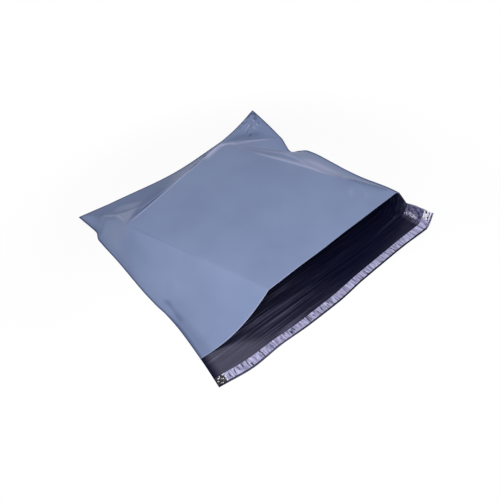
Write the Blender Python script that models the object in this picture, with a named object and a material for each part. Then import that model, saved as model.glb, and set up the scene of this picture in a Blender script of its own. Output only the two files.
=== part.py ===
"""Poly mailer bag: one folded polyethylene film with welded sides, a sealing strip and its peel-off liner.

The bag lies on its back panel with the mouth towards -Y. The front panel stands up as a flat-roofed
tent over the pocket, and the lip of the back panel runs out in front of the mouth. Two corners of the
roof stand close to the sides, so the sides are drawn in and the right-hand one is lifted off the ground.
"""

import bpy
import numpy as np

for old in list(bpy.data.objects):
    bpy.data.objects.remove(old, do_unlink=True)

# The film, cut and welded flat
film = 0.00006
bag_width = 0.355
bag_depth = 0.356
lip_length = 0.049
side_weld = 0.005
fold_press = 0.0015

# The roof of the pocket: its height, and how far its corners stand from the sides and the closed end
roof_height = 0.0504
front_left_from_side = 0.1045
front_left_out = 0.012
front_right_from_side = 0.0215
back_left_from_side = 0.037
back_left_from_end = 0.1365
back_right_from_side = 0.1075
back_right_from_end = 0.071

# Where the creases of the two closed corners reach the fold, and how the fold runs between them
fold_left_from_side = 0.0535
fold_right_from_side = 0.0775
fold_drawn_in = 0.010
fold_bow = 0.003
back_slope_sag = 0.004

# How high the film stands at its corners and along the fold
left_corner_lift = 0.006
fold_left_lift = 0.005
fold_middle_lift = 0.0008
fold_right_lift = 0.010
valley_lift = 0.020
ear_lift = 0.043
ear_side_swell = 0.0025
ear_fold_hollow = 0.004
ear_gap = 0.0015

# The left side: stops of (distance from the mouth, how far it is drawn in from the flat width)
left_mouth_y = -0.001
left_row_from_end = 0.146
left_end_drawn_in = 0.004
notch_from_end = 0.057
notch_lift = 0.002
notch_length = 0.012
left_side_drawn_in = [
    (-lip_length, 0.0005),
    (left_mouth_y, 0.0053),
    (0.085, 0.0070),
    (bag_depth - left_row_from_end, 0.0045),
    (bag_depth - notch_from_end - 0.016, 0.0027),
    (bag_depth - notch_from_end, 0.0070),
    (bag_depth, 0.0010),
]

# The right side: stops of (distance from the mouth, how far it is drawn in, its height above the ground)
right_step_y = -0.003
right_mouth_y = 0.002
right_mouth_below_roof = 0.0064
right_row_from_end = 0.092
right_end_drawn_in = 0.018
right_side = [
    (-lip_length, 0.0005, 0.0290),
    (-0.016, 0.0010, 0.0255),
    (right_step_y, 0.0015, 0.0225),
    (right_mouth_y, 0.0125, roof_height - right_mouth_below_roof),
    (0.084, 0.0075, 0.0280),
    (0.118, 0.0070, 0.0260),
    (0.160, 0.0065, 0.0265),
    (bag_depth - 0.166, 0.0065, 0.0240),
    (bag_depth - 0.142, 0.0075, 0.0140),
    (bag_depth - 0.122, 0.0090, 0.0045),
    (bag_depth - right_row_from_end, 0.0060, valley_lift),
    (bag_depth, 0.0050, valley_lift),
]
right_side_drawn_in = [(y, drawn_in) for y, drawn_in, _ in right_side]
right_side_lift = [(y, lift) for y, _, lift in right_side]

# The upright right side shows its weld edge on near the mouth, so the weld takes little width in plan
# there, and the whole of it from this share of the pocket's depth inwards
upright_weld = 0.0015
upright_weld_share = 0.3

# The turned-up right side of the back panel: how wide the turn is at the mouth, further in and at the ear
turn_at_mouth = 0.009
turn_inside = 0.030
turn_at_ear = 0.045
turn_inside_share = 0.35

# Towards that side the ground stretch of the back panel rises gently, on the lip and just inside it
lip_rise = 0.008
lip_rise_width = 0.0975

# The lip's cut edge wanders a little: stops of (distance from the left side, how far it falls short)
lip_edge_wander = [
    (0.0, 0.0030),
    (0.047, -0.0030),
    (0.087, 0.0005),
    (0.127, -0.0020),
    (0.177, -0.0015),
    (0.225, 0.0015),
    (bag_width - 0.057, 0.0040),
    (bag_width, 0.0015),
]

# The sealing strip along the lip: a bead of hot-melt glue under a peel-off liner
clearance = 0.0003
liner_margin = 0.0025
liner_width = 0.0115
liner_thickness = 0.00006
glue_width = 0.008
glue_thickness = 0.00006

# The film is a grid. Columns run up the bag: 0 and 5 are the cut sides, 1 and 4 the inner lines of the
# side welds, 2 and 3 the left and right edges of the roof. Rows run across it: -1 is the lip's cut edge,
# 0 the mouth, 1 the roof's back edge, 2 the inside of the closed fold and 3 its outside. Whole numbers
# are those lines, and what lies between them is a share of the way from one to the next.
ROWS = [-1, 0, 1, 2, 3]
COLUMNS = [0, 1, 2, 3, 4, 5]
STEP_ROW = -0.06

# Cells across each stretch of the film; the square patches at the two closed corners have as many
# cells each way, so that their creases run along the cells' diagonals
corner_cells = 8
roof_cells = 9
front_cells = 12

half = bag_width / 2


def through(stops, at):
    """A smooth curve through (position, value) stops that never swings past any of them."""
    x, y = np.array(stops, float).T
    gap = np.diff(x)
    slope = np.diff(y) / gap
    before, after = slope[:-1], slope[1:]
    tangent = np.concatenate([slope[:1], np.zeros(len(before)), slope[-1:]])
    same_way = before * after > 0
    both = np.where(same_way, before + after, 1.0)
    tangent[1:-1] = np.where(same_way, 2 * before * after / both, 0.0)
    at = np.clip(at, x[0], x[-1])
    i = np.clip(np.searchsorted(x, at, side="right") - 1, 0, len(gap) - 1)
    s = (at - x[i]) / gap[i]
    start = (1 + 2 * s) * (1 - s) ** 2 * y[i] + s * (1 - s) ** 2 * gap[i] * tangent[i]
    end = s**2 * (3 - 2 * s) * y[i + 1] + s**2 * (s - 1) * gap[i] * tangent[i + 1]
    return start + end


def side_lines(row):
    """Plan position of the two cut sides at the given rows."""
    left_end = bag_depth - left_end_drawn_in
    left_row = bag_depth - left_row_from_end
    left_y = np.interp(row, ROWS, [-lip_length, left_mouth_y, left_row, left_end - fold_press, left_end])
    right_end = bag_depth - right_end_drawn_in
    right_row = bag_depth - right_row_from_end
    right_stops = [-lip_length, right_step_y, right_mouth_y, right_row, right_end - fold_press, right_end]
    right_y = np.interp(row, [-1, STEP_ROW, 0, 1, 2, 3], right_stops)
    left_x = -half + through(left_side_drawn_in, left_y)
    right_x = half - through(right_side_drawn_in, right_y)
    return left_x, left_y, right_x, right_y


def roof_lines(row):
    """Plan position of the lines that bear the roof's left and right edges, from the lip to the fold."""
    fold_y = bag_depth - fold_drawn_in
    left_in = [front_left_from_side, back_left_from_side, fold_left_from_side]
    right_in = [front_right_from_side, back_right_from_side, fold_right_from_side]
    left_x = -half + np.interp(row, [0, 1, 2], left_in)
    right_x = half - np.interp(row, [0, 1, 2], right_in)
    left_back = bag_depth - back_left_from_end
    right_back = bag_depth - back_right_from_end
    left_y = np.interp(row, ROWS, [-lip_length, -front_left_out, left_back, fold_y - fold_press, fold_y])
    right_y = np.interp(row, ROWS, [-lip_length, 0, right_back, fold_y - fold_press, fold_y])
    return left_x, left_y, right_x, right_y


def film_plan(columns, rows):
    """Plan position of every point of the grid."""
    left_x, left_y, right_x, right_y = side_lines(rows)
    roof_left_x, roof_left_y, roof_right_x, roof_right_y = roof_lines(rows)
    right_weld = np.interp(rows, [0, upright_weld_share], [upright_weld, side_weld])
    line_x = [left_x, left_x + side_weld, roof_left_x, roof_right_x, right_x - right_weld, right_x]
    line_y = [left_y, left_y, roof_left_y, roof_right_y, right_y, right_y]
    x = np.stack([np.interp(columns, COLUMNS, line) for line in np.transpose(line_x)])
    y = np.stack([np.interp(columns, COLUMNS, line) for line in np.transpose(line_y)])
    across_roof = np.clip(columns - 2, 0, 1)
    towards_fold = np.clip(rows - 1, 0, 1)[:, None]
    y -= fold_bow * 4 * across_roof * (1 - across_roof) * towards_fold
    on_lip = np.clip(-rows, 0, 1)[:, None]
    y += on_lip * through(lip_edge_wander, x + half)
    return x, y


def fold_lift(columns):
    """Height of the closed fold above the ground, from the left corner to the foot of the ear."""
    stops = [(0, left_corner_lift), (2, fold_left_lift), (2.5, fold_middle_lift), (3, fold_right_lift)]
    return through(stops, columns)


def ear_surface(across, to_end):
    """The raised right-hand corner, between the valley crease, the side and the fold."""
    tip = np.clip(across + to_end - 1, 0, 1)
    side, fold = 1 - to_end, 1 - across
    flat = tip * ear_lift + side * valley_lift + fold * fold_right_lift
    return flat + 4 * tip * side * ear_side_swell - 4 * tip * fold * ear_fold_hollow


def turned_up_side(rows, x, y):
    """Height of the back panel in front of the roof's back edge: flat, then turned up at the right."""
    right_x = x[:, -1:]
    weld_x = right_x - np.interp(rows, [0, upright_weld_share], [upright_weld, side_weld])[:, None]
    rise = lip_rise * np.clip((x - right_x + lip_rise_width) / lip_rise_width, 0, 1) ** 2
    rise *= np.clip(1 - rows / turn_inside_share, 0, 1)[:, None]
    turn_widths = [turn_at_mouth, turn_inside, turn_at_ear]
    turn = np.interp(rows, [0, turn_inside_share, 1], turn_widths)
    turned = np.clip(1 - (weld_x - x) / turn[:, None], 0, 1) ** 2
    side_height = through(right_side_lift, y[:, -1])[:, None]
    return rise + (side_height - rise[:, -1:]) * turned


def under_the_ear(across, to_end):
    """Height of the back panel at the right-hand closed corner: a valley crease, and the ear beyond it."""
    total = across + to_end
    along = np.where(total > 0, across / np.where(total > 0, total, 1), 0)
    valley = fold_right_lift + (valley_lift - fold_right_lift) * along
    reach = turn_at_ear / (back_right_from_side - side_weld)
    below_valley = valley * np.clip(1 - (1 - total) / reach, 0, 1) ** 2
    return np.where(total < 1, below_valley, ear_surface(across, to_end))


def back_panel(columns, rows, x, y):
    """Height of the back panel's inner face over the whole grid."""
    u, v = np.meshgrid(columns, rows)
    to_end = np.clip(v - 1, 0, 1)
    closed_end = np.where(u > 3, under_the_ear(np.clip(u - 3, 0, 1), to_end), fold_lift(u) * to_end**4)
    height = np.where(v <= 1, turned_up_side(rows, x, y), closed_end)
    from_notch = (bag_depth - notch_from_end - y) / notch_length
    notch = notch_lift * np.exp(-(from_notch**2)) * np.clip(2 - u, 0, 1) ** 6
    return film + height + notch


def front_panel(columns, rows, back):
    """Height of the front panel's inner face: slopes rising from the sides to a flat roof."""
    u, v = np.meshgrid(columns, rows)
    to_end = np.clip(v - 1, 0, 1)

    up_left = np.clip(u - 1, 0, 1)
    left_foot = back[:, columns == 1]
    hollow = 2 - np.clip(v, 0, 1)
    left = left_foot + (roof_height - left_foot) * up_left**hollow
    back_slope = (film + fold_lift(u)) * to_end + roof_height * (1 - to_end)
    back_slope -= 4 * back_slope_sag * to_end * (1 - to_end) * np.clip(up_left + to_end - 1, 0, 1)
    left = np.where(v > 1, np.minimum(left, back_slope), left)

    across = np.clip(u - 3, 0, 1)
    right = roof_height + (back[:, columns == 4] - roof_height) * across
    fallen = (1 - across - to_end) * roof_height + across * valley_lift + to_end * fold_right_lift
    fallen -= 4 * back_slope_sag * to_end * (1 - to_end) * (1 - across) ** 2
    corner = np.where(across + to_end < 1, fallen, ear_surface(across, to_end))
    corner += film + 4 * (1 - across) * (1 - to_end) * ear_gap * np.clip(4 * across, 0, 1)
    right = np.where(v > 1, corner, right)

    middle = np.where(v > 1, back_slope, roof_height)
    height = np.where(u < 2, left, np.where(u > 3, right, middle))
    together = (u <= 1) | (u >= 4) | (v >= 2)
    return np.where(together, back, height)


def normals(x, y, z):
    """Unit normals of a grid surface, pointing up."""
    point = np.stack([x, y, z], -1)
    along_row = np.gradient(point, axis=1)
    up_bag = np.gradient(point, axis=0)
    normal = np.cross(along_row, up_bag)
    return normal / np.linalg.norm(normal, axis=-1, keepdims=True)


def colour(red, green, blue):
    """A colour given as seen on screen, 0 to 255, in the linear values that a shader takes."""
    screen = np.array([red, green, blue]) / 255
    linear = np.where(screen <= 0.04045, screen / 12.92, ((screen + 0.055) / 1.055) ** 2.4)
    return (*linear.tolist(), 1.0)


def material(name, base, roughness):
    made = bpy.data.materials.new(name)
    made.use_nodes = True
    shader = made.node_tree.nodes["Principled BSDF"]
    shader.inputs["Base Color"].default_value = base
    shader.inputs["Roughness"].default_value = roughness
    shader.inputs["Metallic"].default_value = 0.0
    return made


class Shell:
    """Vertices and faces of one closed solid, gathered from grids of points."""

    def __init__(self):
        self.points = []
        self.faces = []
        self.inside = []

    def add(self, points):
        """Adds a grid of points and returns the grid of their numbers."""
        first = len(self.points)
        flat = points.reshape(-1, 3)
        self.points.extend(map(tuple, flat))
        return np.arange(first, first + len(flat)).reshape(points.shape[:2])

    def face(self, *corners, inside=False):
        self.faces.append([int(c) for c in corners])
        self.inside.append(inside)

    def sheet(self, grid, falling, up, inside=False):
        """Faces over a grid of point numbers, facing up or down.

        A cell is split from its upper left to its lower right corner where falling says so.
        """
        for i in range(grid.shape[0] - 1):
            for j in range(grid.shape[1] - 1):
                a, b, c, d = grid[i, j], grid[i, j + 1], grid[i + 1, j + 1], grid[i + 1, j]
                for corners in ((a, b, d), (b, c, d)) if falling[i, j] else ((a, b, c), (a, c, d)):
                    self.face(*(corners if up else corners[::-1]), inside=inside)

    def rim(self, low, high):
        """A narrow edge face between two lines; low runs with the outside on its right."""
        for k in range(len(low) - 1):
            self.face(low[k], low[k + 1], high[k + 1])
            self.face(low[k], high[k + 1], high[k])

    def drop_unused_points(self):
        used = sorted({c for corners in self.faces for c in corners})
        number = {c: k for k, c in enumerate(used)}
        self.points = [self.points[c] for c in used]
        self.faces = [[number[c] for c in corners] for corners in self.faces]

    def build(self, name, outside, inside=None):
        """The solid as an object, in one material or with a second one on its inner faces."""
        mesh = bpy.data.meshes.new(name)
        mesh.from_pydata(self.points, [], self.faces)
        mesh.materials.append(outside)
        if inside:
            mesh.materials.append(inside)
            for polygon, is_inside in zip(mesh.polygons, self.inside):
                polygon.material_index = int(is_inside)
        mesh.shade_smooth()
        made = bpy.data.objects.new(name, mesh)
        bpy.context.collection.objects.link(made)
        return made


def between(start, end, cells):
    """Stations from start towards end, without end itself."""
    return np.linspace(start, end, cells, endpoint=False)


# Lines across the lip, as distances in from its cut edge: the liner runs from the second to the fifth
# and the glue under it from the third to the fourth
glue_margin = liner_margin + (liner_width - glue_width) / 2
liner_end = liner_margin + liner_width
lip_lines = [
    0,
    liner_margin,
    glue_margin,
    glue_margin + glue_width,
    liner_end,
    (liner_end + lip_length) / 2,
]
liner_lines = slice(1, 5)
glue_lines = slice(2, 4)

across_left = [0, *between(1, 2, corner_cells)]
across_right = [*between(3, 4, corner_cells), 4, 5]
columns = np.array([*across_left, *between(2, 3, roof_cells), *across_right])
lip_rows = [distance / lip_length - 1 for distance in lip_lines] + [STEP_ROW]
mouth = len(lip_rows)
rows = np.array([*lip_rows, *between(0, 1, front_cells), *between(1, 2, corner_cells), 2, 3])
last = len(columns) - 1

# Which way each cell is split: with the creases that run down to the left and right closed corners
cell_column, cell_row = np.meshgrid((columns[:-1] + columns[1:]) / 2, (rows[:-1] + rows[1:]) / 2)
below_valley = (cell_column > 3) & (cell_row > 1) & (cell_column + cell_row < 5 + 1e-6)
falling = (cell_column < 2.5) | below_valley

# The inner faces of the two panels, and the outer faces one film thickness outside them
plan_x, plan_y = film_plan(columns, rows)
back_z = back_panel(columns, rows, plan_x, plan_y)
front_z = front_panel(columns, rows[mouth:], back_z[mouth:])
back_normal = normals(plan_x, plan_y, back_z)
front_normal = normals(plan_x[mouth:], plan_y[mouth:], front_z)
back_inner = np.stack([plan_x, plan_y, back_z], -1)
front_inner = np.stack([plan_x[mouth:], plan_y[mouth:], front_z], -1)
back_outer = back_inner - film * back_normal
front_outer = front_inner + film * front_normal

# The bag's own frame: the origin under the middle of its box, on the ground
every_corner = np.concatenate([back_outer.reshape(-1, 3), front_outer.reshape(-1, 3)])
low, high = every_corner.min(axis=0), every_corner.max(axis=0)
to_origin = -np.array([(low[0] + high[0]) / 2, (low[1] + high[1]) / 2, low[2]])


def make_film():
    """The folded and welded film: outer faces, inner faces where it is open, and its cut edges."""
    shell = Shell()
    under = shell.add(back_outer + to_origin)
    over = shell.add(front_outer + to_origin)
    floor = shell.add(back_inner + to_origin)
    ceiling = shell.add(front_inner + to_origin)
    pocket_floor = floor[mouth:]
    ceiling[:, [1, last - 1]] = pocket_floor[:, [1, last - 1]]
    ceiling[-2] = pocket_floor[-2]

    shell.sheet(over, falling[mouth:], up=True)
    shell.sheet(under, falling, up=False)
    shell.sheet(floor[: mouth + 1], falling, up=True, inside=True)
    pocket = falling[mouth:, 1:]
    shell.sheet(pocket_floor[:-1, 1:last], pocket, up=True, inside=True)
    shell.sheet(ceiling[:-1, 1:last], pocket, up=False, inside=True)

    shell.rim(under[0], floor[0])
    shell.rim(under[-1][::-1], over[-1][::-1])
    welded_mouth = [pocket_floor[0, :2], ceiling[0, 2 : last - 1], pocket_floor[0, last - 1 :]]
    shell.rim(np.concatenate(welded_mouth), over[0])
    for side, turn in ((0, -1), (last, 1)):
        shell.rim(under[: mouth + 1, side][::turn], floor[: mouth + 1, side][::turn])
        welded = slice(mouth + 1, None)
        shell.rim(under[welded, side][::turn], over[1:, side][::turn])
        below, above, corner = under[mouth : mouth + 2, side], over[:2, side], floor[mouth, side]
        fan = [(below[0], below[1], corner), (corner, below[1], above[1]), (corner, above[1], above[0])]
        for corners in fan:
            shell.face(*corners[::turn])

    shell.drop_unused_points()
    grey = material("grey film", colour(118, 132, 165), 0.42)
    black = material("black film", colour(14, 15, 26), 0.35)
    return shell.build("bag_film", grey, black)


def make_strip(name, lines, above, thickness, made_of):
    """A thin strip along the lip between the side welds, at the given height above the film."""
    length = slice(1, last)
    base = back_inner[lines, length] + to_origin
    normal = back_normal[lines, length]
    shell = Shell()
    bottom = shell.add(base + above * normal)
    top = shell.add(base + (above + thickness) * normal)
    shell.sheet(top, falling[lines, length], up=True)
    shell.sheet(bottom, falling[lines, length], up=False)
    shell.rim(bottom[0], top[0])
    shell.rim(bottom[:, -1], top[:, -1])
    shell.rim(bottom[-1][::-1], top[-1][::-1])
    shell.rim(bottom[::-1, 0], top[::-1, 0])
    return shell.build(name, made_of)


glue = material("hot-melt glue", colour(206, 200, 178), 0.3)
liner = material("peel-off liner", colour(190, 190, 225), 0.25)
over_glue = clearance + glue_thickness + clearance

make_film()
make_strip("adhesive_strip", glue_lines, clearance, glue_thickness, glue)
make_strip("release_liner", liner_lines, over_glue, liner_thickness, liner)
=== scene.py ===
"""Looks of a poly mailer bag that lies open, with its front panel standing as a tent over the pocket."""

import math

import bpy
import numpy as np
from mathutils import Matrix, Vector


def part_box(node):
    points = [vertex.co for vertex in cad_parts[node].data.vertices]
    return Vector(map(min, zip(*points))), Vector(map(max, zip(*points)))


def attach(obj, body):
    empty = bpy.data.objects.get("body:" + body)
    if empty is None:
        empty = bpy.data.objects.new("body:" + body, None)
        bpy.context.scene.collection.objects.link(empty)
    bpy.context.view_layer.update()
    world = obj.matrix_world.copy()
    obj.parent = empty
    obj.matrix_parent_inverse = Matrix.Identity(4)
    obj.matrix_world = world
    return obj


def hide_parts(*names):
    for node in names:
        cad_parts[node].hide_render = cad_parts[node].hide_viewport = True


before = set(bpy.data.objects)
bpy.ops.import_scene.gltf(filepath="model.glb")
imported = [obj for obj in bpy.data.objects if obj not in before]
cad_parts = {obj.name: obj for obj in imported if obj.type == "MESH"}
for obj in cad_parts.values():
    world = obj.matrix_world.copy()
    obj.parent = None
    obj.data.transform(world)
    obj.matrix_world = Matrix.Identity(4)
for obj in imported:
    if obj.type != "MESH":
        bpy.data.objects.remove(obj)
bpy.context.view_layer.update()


# Bag film
# One sheet of polyethylene blown in two layers, grey-blue outside and black inside. It is folded across
# at the closed end, and a hot knife cuts and welds both sides in one pass. The back panel runs on past
# the mouth as the lip.

# Sizes are in millimetres, and places are measured from the middle of the mouth line
FILM_THICKNESS = 0.06
BAG_WIDTH = 355
BAG_DEPTH = 356
LIP_LENGTH = 49
SIDE_WELD = 5
FOLD_PRESS = 1.5
ROOF_HEIGHT = 50.4
HALF_WIDTH = BAG_WIDTH / 2

# The roof's corners: how far in from the sides, and how far behind the mouth line or, for the two back
# ones, before the closed end
ROOF_FRONT_LEFT = (104.5, -12)
ROOF_FRONT_RIGHT = (21.5, 0)
ROOF_BACK_LEFT = (37, 136.5)
ROOF_BACK_RIGHT = (107.5, 71)

# The closed end: how far in from the sides the back slope's creases meet it, how far it is drawn in and
# bows towards the mouth, and how far the slope above it sags
FOLD_LEFT = 53.5
FOLD_RIGHT = 77.5
FOLD_DRAWN_IN = 10
FOLD_BOW = 3
BACK_SLOPE_SAG = 4

# Heights of the film along the closed end. The ear, its raised right corner, swells by the side, is hollow
# by the fold, and has a gap between its two layers
LEFT_CORNER_LIFT = 6
FOLD_LEFT_LIFT = 5
FOLD_MIDDLE_LIFT = 0.8
FOLD_RIGHT_LIFT = 10
VALLEY_LIFT = 20
EAR_LIFT = 41.2
EAR_TIP_RISE = 1.8
EAR_SIDE_SWELL = 1.8
EAR_FOLD_HOLLOW = 2.8
EAR_GAP = 1.5

# The left side: (distance from the mouth, how far it is drawn in). Its weld is puckered at the notch
LEFT_MOUTH_Y = -1
LEFT_ROW = BAG_DEPTH - 146
LEFT_END = BAG_DEPTH - 4
NOTCH_Y = BAG_DEPTH - 57
NOTCH_LIFT = 2
NOTCH_LENGTH = 12
LEFT_SIDE = [
    (-LIP_LENGTH, -0.8),
    (LEFT_MOUTH_Y, 3.6),
    (62, 7.0),
    (85, 6.5),
    (108, 4.4),
    (150, 3.0),
    (LEFT_ROW, 3.2),
    (NOTCH_Y - 16, 1.6),
    (NOTCH_Y, 6.2),
    (BAG_DEPTH, -0.6),
]

# The right side: (distance from the mouth, how far it is drawn in, its height above the ground). It steps
# up from the lip to the roof beside the mouth
RIGHT_STEP_Y = -3
RIGHT_MOUTH_Y = 2
RIGHT_ROW = BAG_DEPTH - 92
RIGHT_END = BAG_DEPTH - 18
RIGHT_SIDE = [
    (-LIP_LENGTH, 0.5, 29.0),
    (-16, 1.0, 25.5),
    (RIGHT_STEP_Y, 1.5, 22.5),
    (RIGHT_MOUTH_Y, 12.5, ROOF_HEIGHT - 6.4),
    (84, 6.3, 28.5),
    (118, 6.0, 26.5),
    (160, 6.2, 26.5),
    (BAG_DEPTH - 166, 6.5, 24.0),
    (BAG_DEPTH - 142, 7.5, 14.0),
    (BAG_DEPTH - 122, 9.0, 4.5),
    (RIGHT_ROW, 6.0, VALLEY_LIFT),
    (BAG_DEPTH, 5.0, VALLEY_LIFT),
]

# The right weld stands upright beside the mouth, so it is narrow in plan up to a share of the roof. The
# film turns up towards it over a width at the mouth, at the share where the lip's own rise has faded, and
# at the roof's back edge
UPRIGHT_WELD = 1.5
UPRIGHT_WELD_SHARE = 0.3
TURN_WIDTHS = [9, 30, 45]
TURN_INSIDE_SHARE = 0.35
LIP_RISE = 8
LIP_RISE_WIDTH = 97.5

# The lip's cut edge: (distance from the left side, how far it falls short)
LIP_EDGE = [
    (0, 3.0),
    (47, -3.2),
    (87, -1.2),
    (127, -2.6),
    (177, -1.8),
    (225, 2.6),
    (BAG_WIDTH - 57, 5.6),
    (BAG_WIDTH, 2.0),
]

# Lines of the film's grid. Columns: 0 and 5 are the cut sides, 1 and 4 the inner lines of the welds, 2 and
# 3 the roof's left and right edges. Rows: -1 is the lip's edge, 0 the mouth, 1 the roof's back edge, 2 and
# 3 the inside and the outside of the closed fold. The right side steps up in front of the mouth
ROW_LINES = [-1, 0, 1, 2, 3]
STEP_ROW = -0.06
LEFT_WELD_COLUMNS = [0, 0.12, 0.5]
RIGHT_WELD_COLUMNS = [4, 4.5, 4.88, 5]
FOLD_ROWS = [2, 2.5, 3]
CORNER_CELLS = 42
ROOF_CELLS = 62
FRONT_CELLS = 80
LIP_CELLS = 24
SLOPE_CELLS = 62

# How softly the roof's edges are rounded: (row, softness). Its left edge turns at the back corner over a
# reach of rows
ROOF_ROUNDING = [(0, 0.3), (0.08, 0.8), (0.5, 2.2), (1, 1.2)]
CORNER_EASE = 0.1
CORNER_EASE_REACH = 0.15


def through(stops, at):
    """A smooth curve through (position, value) stops that never swings past any of them."""
    x, y = np.array(stops, float).T
    gap = np.diff(x)
    slope = np.diff(y) / gap
    before, after = slope[:-1], slope[1:]
    same_way = before * after > 0
    both = np.where(same_way, before + after, 1.0)
    inner = np.where(same_way, 2 * before * after / both, 0.0)
    tangent = np.concatenate([slope[:1], inner, slope[-1:]])
    at = np.clip(at, x[0], x[-1])
    i = np.clip(np.searchsorted(x, at, side="right") - 1, 0, len(gap) - 1)
    s = (at - x[i]) / gap[i]
    start = (1 + 2 * s) * (1 - s) ** 2 * y[i] + s * (1 - s) ** 2 * gap[i] * tangent[i]
    end = s**2 * (3 - 2 * s) * y[i + 1] + s**2 * (s - 1) * gap[i] * tangent[i + 1]
    return start + end


def bell(away, width, power=2):
    """1 on a line, and falling off softly with the distance away from it."""
    return np.exp(-((away / width) ** power))


def film_plan(columns, rows):
    """Plan position of every point of the film's grid."""
    left_stops = [-LIP_LENGTH, LEFT_MOUTH_Y, LEFT_ROW, LEFT_END - FOLD_PRESS, LEFT_END]
    left_y = np.interp(rows, ROW_LINES, left_stops)
    right_stops = [-LIP_LENGTH, RIGHT_STEP_Y, RIGHT_MOUTH_Y, RIGHT_ROW, RIGHT_END - FOLD_PRESS, RIGHT_END]
    right_y = np.interp(rows, [-1, STEP_ROW, 0, 1, 2, 3], right_stops)
    left_x = -HALF_WIDTH + through(LEFT_SIDE, left_y)
    right_x = HALF_WIDTH - through([stop[:2] for stop in RIGHT_SIDE], right_y)

    left_insets = [ROOF_FRONT_LEFT[0], ROOF_BACK_LEFT[0], FOLD_LEFT]
    right_insets = [ROOF_FRONT_RIGHT[0], ROOF_BACK_RIGHT[0], FOLD_RIGHT]
    roof_left_x = -HALF_WIDTH + np.interp(rows, [0, 1, 2], left_insets)
    roof_right_x = HALF_WIDTH - np.interp(rows, [0, 1, 2], right_insets)
    fold_y = BAG_DEPTH - FOLD_DRAWN_IN
    closed = [fold_y - FOLD_PRESS, fold_y]
    left_back = BAG_DEPTH - ROOF_BACK_LEFT[1]
    right_back = BAG_DEPTH - ROOF_BACK_RIGHT[1]
    roof_left_y = np.interp(rows, ROW_LINES, [-LIP_LENGTH, ROOF_FRONT_LEFT[1], left_back, *closed])
    roof_right_y = np.interp(rows, ROW_LINES, [-LIP_LENGTH, ROOF_FRONT_RIGHT[1], right_back, *closed])
    right_weld = np.interp(rows, [0, UPRIGHT_WELD_SHARE], [UPRIGHT_WELD, SIDE_WELD])
    lines = [
        (left_x, left_y),
        (left_x + SIDE_WELD, left_y),
        (roof_left_x, roof_left_y),
        (roof_right_x, roof_right_y),
        (right_x - right_weld, right_y),
        (right_x, right_y),
    ]
    x = np.stack([np.interp(columns, range(6), row) for row in np.transpose([line[0] for line in lines])])
    y = np.stack([np.interp(columns, range(6), row) for row in np.transpose([line[1] for line in lines])])

    across_roof = np.clip(columns - 2, 0, 1)
    towards_fold = np.clip(rows - 1, 0, 1)[:, None]
    y -= FOLD_BOW * 4 * across_roof * (1 - across_roof) * towards_fold
    y += np.clip(-rows, 0, 1)[:, None] * through(LIP_EDGE, x + HALF_WIDTH)
    return x, y


def fold_lift(columns):
    """Height of the closed fold above the ground, from the left corner to the foot of the ear."""
    stops = [(0, LEFT_CORNER_LIFT), (2, FOLD_LEFT_LIFT), (2.5, FOLD_MIDDLE_LIFT), (3, FOLD_RIGHT_LIFT)]
    return through(stops, columns)


def ear(across, to_end):
    """Height of the raised right corner, between the valley crease, the side and the fold."""
    tip = np.clip(across + to_end - 1, 0, 1)
    side, fold = 1 - to_end, 1 - across
    flat = tip * EAR_LIFT + side * VALLEY_LIFT + fold * FOLD_RIGHT_LIFT
    return flat + 4 * tip * side * EAR_SIDE_SWELL - 4 * tip * fold * EAR_FOLD_HOLLOW


def back_height(columns, rows, x, y):
    """Height of the back panel's inner face: flat on the ground, turned up at the right and the ear."""
    u, v = np.meshgrid(columns, rows)
    edge_x, edge_y = film_plan(np.array([4.0, 5.0]), rows)
    weld_x, right_x = edge_x[:, :1], edge_x[:, 1:]
    rise = LIP_RISE * np.clip((x - right_x + LIP_RISE_WIDTH) / LIP_RISE_WIDTH, 0, 1) ** 2
    fading = np.clip(1 - v / TURN_INSIDE_SHARE, 0, 1)
    turn = np.interp(rows, [0, TURN_INSIDE_SHARE, 1], TURN_WIDTHS)[:, None]
    turned = np.clip(1 - (weld_x - x) / turn, 0, 1) ** 2
    side_height = through([(stop[0], stop[2]) for stop in RIGHT_SIDE], edge_y[:, 1])[:, None]
    open_part = rise * fading + (side_height - LIP_RISE * fading) * turned

    across, to_end = np.clip(u - 3, 0, 1), np.clip(v - 1, 0, 1)
    total = across + to_end
    along = np.where(total > 0, across / np.where(total > 0, total, 1), 0)
    valley = FOLD_RIGHT_LIFT + (VALLEY_LIFT - FOLD_RIGHT_LIFT) * along
    reach = TURN_WIDTHS[2] / (ROOF_BACK_RIGHT[0] - SIDE_WELD)
    below_valley = valley * np.clip(1 - (1 - total) / reach, 0, 1) ** 2
    right_corner = np.where(total < 1, below_valley, ear(across, to_end))
    closed_end = np.where(u > 3, right_corner, fold_lift(u) * to_end**4)
    closed_end += EAR_TIP_RISE * np.clip(u - 4, 0, 1) * to_end**2
    notch = NOTCH_LIFT * bell(NOTCH_Y - y, NOTCH_LENGTH) * np.clip(2 - u, 0, 1) ** 6
    return FILM_THICKNESS + np.where(v <= 1, open_part, closed_end) + notch


def rounded_min(a, b, rounding):
    """The lower of two heights, with the crease between them rounded."""
    return -rounding * np.logaddexp(-a / rounding, -b / rounding)


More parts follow.
